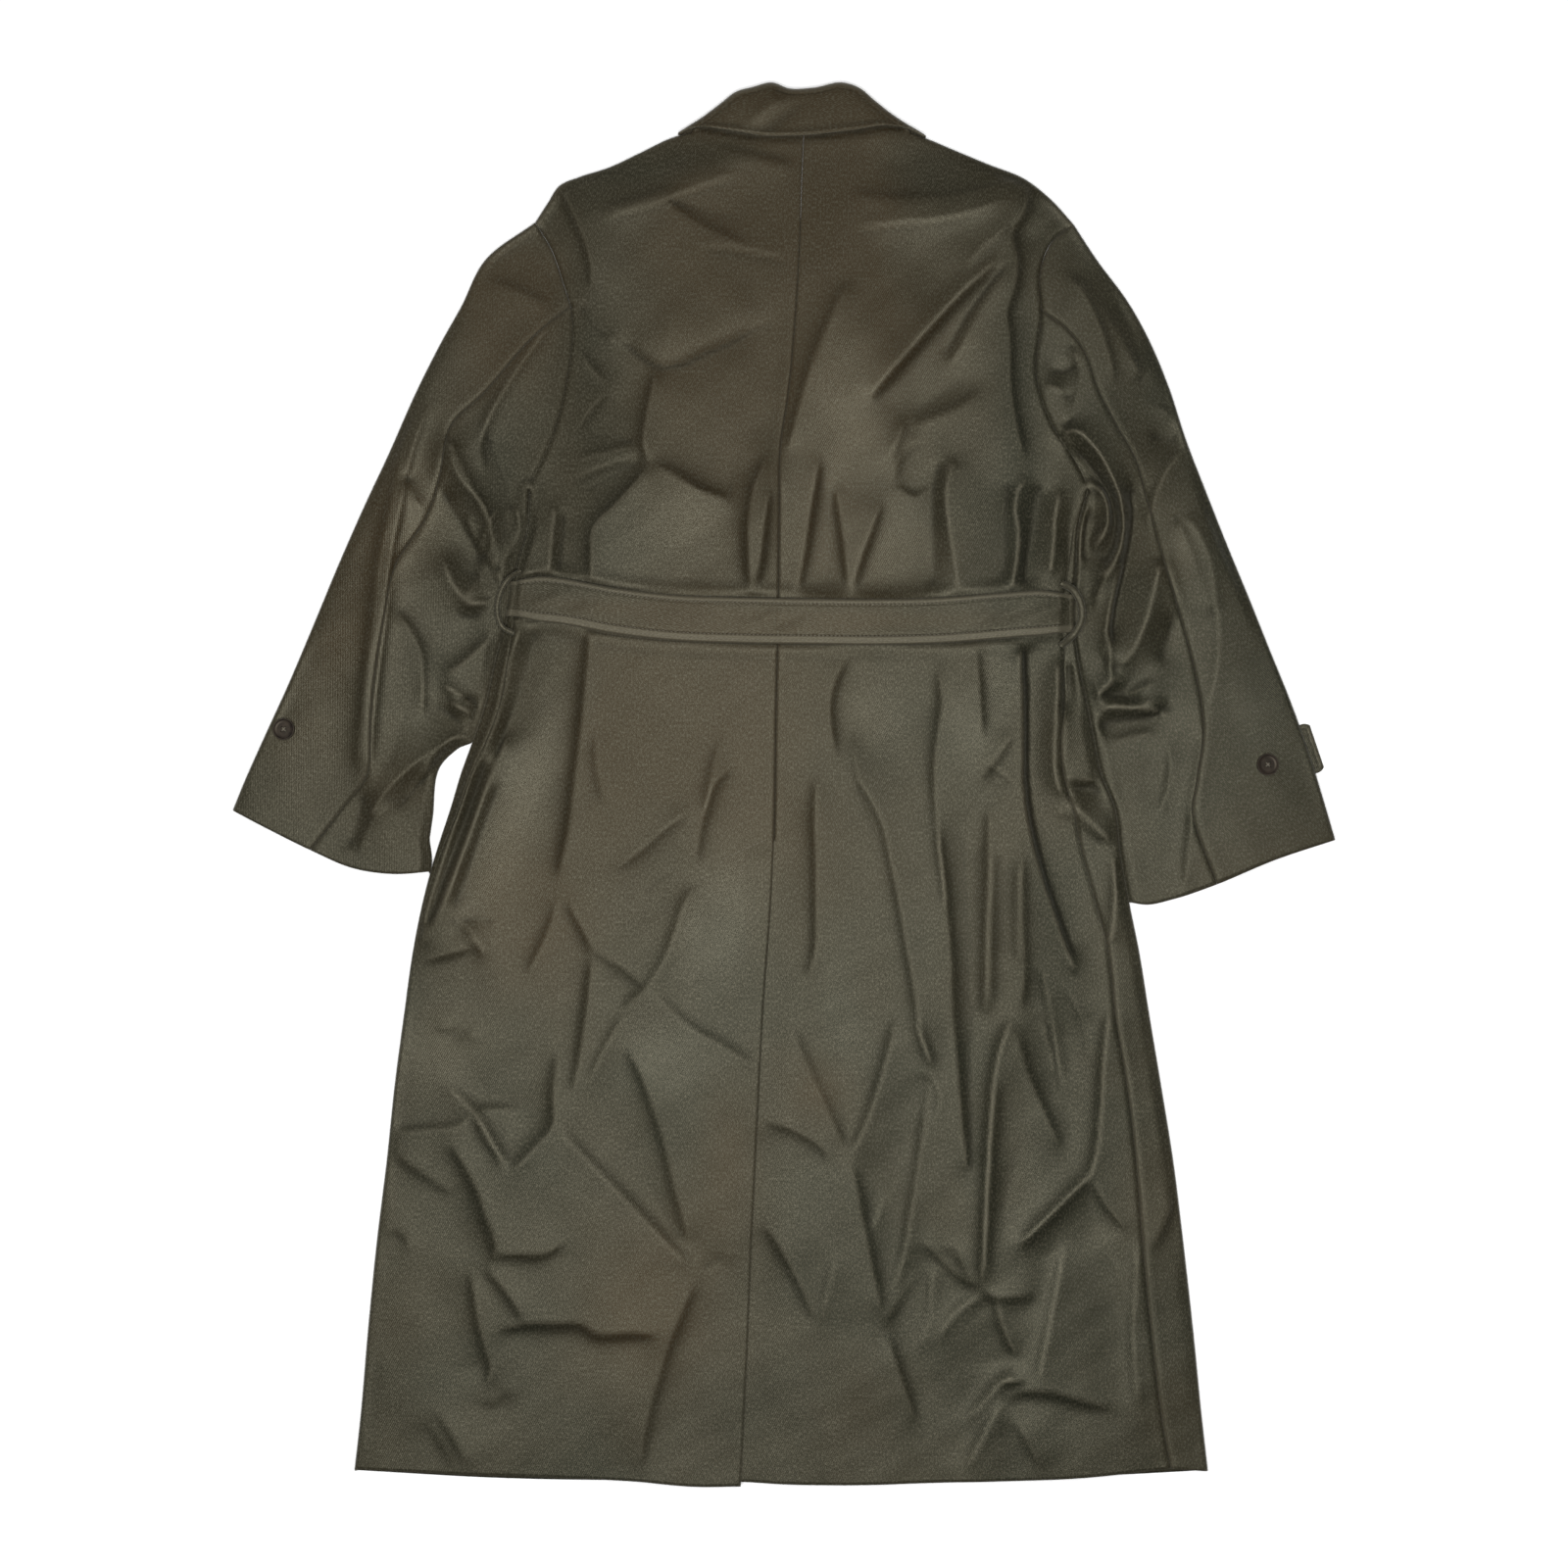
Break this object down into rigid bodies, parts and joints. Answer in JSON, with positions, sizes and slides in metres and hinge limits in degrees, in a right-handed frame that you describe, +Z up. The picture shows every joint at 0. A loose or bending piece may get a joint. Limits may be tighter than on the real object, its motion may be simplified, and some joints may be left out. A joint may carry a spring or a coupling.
{
  "type": "belted chesterfield coat",
  "caption": "Knee-length wool chesterfield coat laid flat with its back up: centre-back seam with a vent, two-piece sleeves, turned collar, belt in side loops and cuff tabs.",
  "frame": {"origin": "centre of the coat's box in plan, on the surface that the coat lies on", "axes": "+Z up from the surface, out of the coat's back; +Y from the hem to the collar; +X to the right as seen from above, towards the wearer's right sleeve"},
  "size_m": [0.97, 1.2333, 0.0217],
  "materials": {
    "coat_cloth": "dark olive-brown fulled wool with a short nap",
    "button": "dark brown polished button with four holes"
  },
  "bodies": {
    "root": {"back_left": "coat_cloth", "back_right": "coat_cloth", "front_left": "coat_cloth", "front_right": "coat_cloth", "sleeve_left_top": "coat_cloth", "sleeve_left_under": "coat_cloth", "sleeve_right_top": "coat_cloth", "sleeve_right_under": "coat_cloth", "collar": "coat_cloth", "belt": "coat_cloth", "belt_loop_left": "coat_cloth", "belt_loop_right": "coat_cloth", "cuff_tab_left": "coat_cloth", "cuff_tab_right": "coat_cloth", "cuff_button_left": "button", "cuff_button_right": "button"}
  },
  "joints": []
}
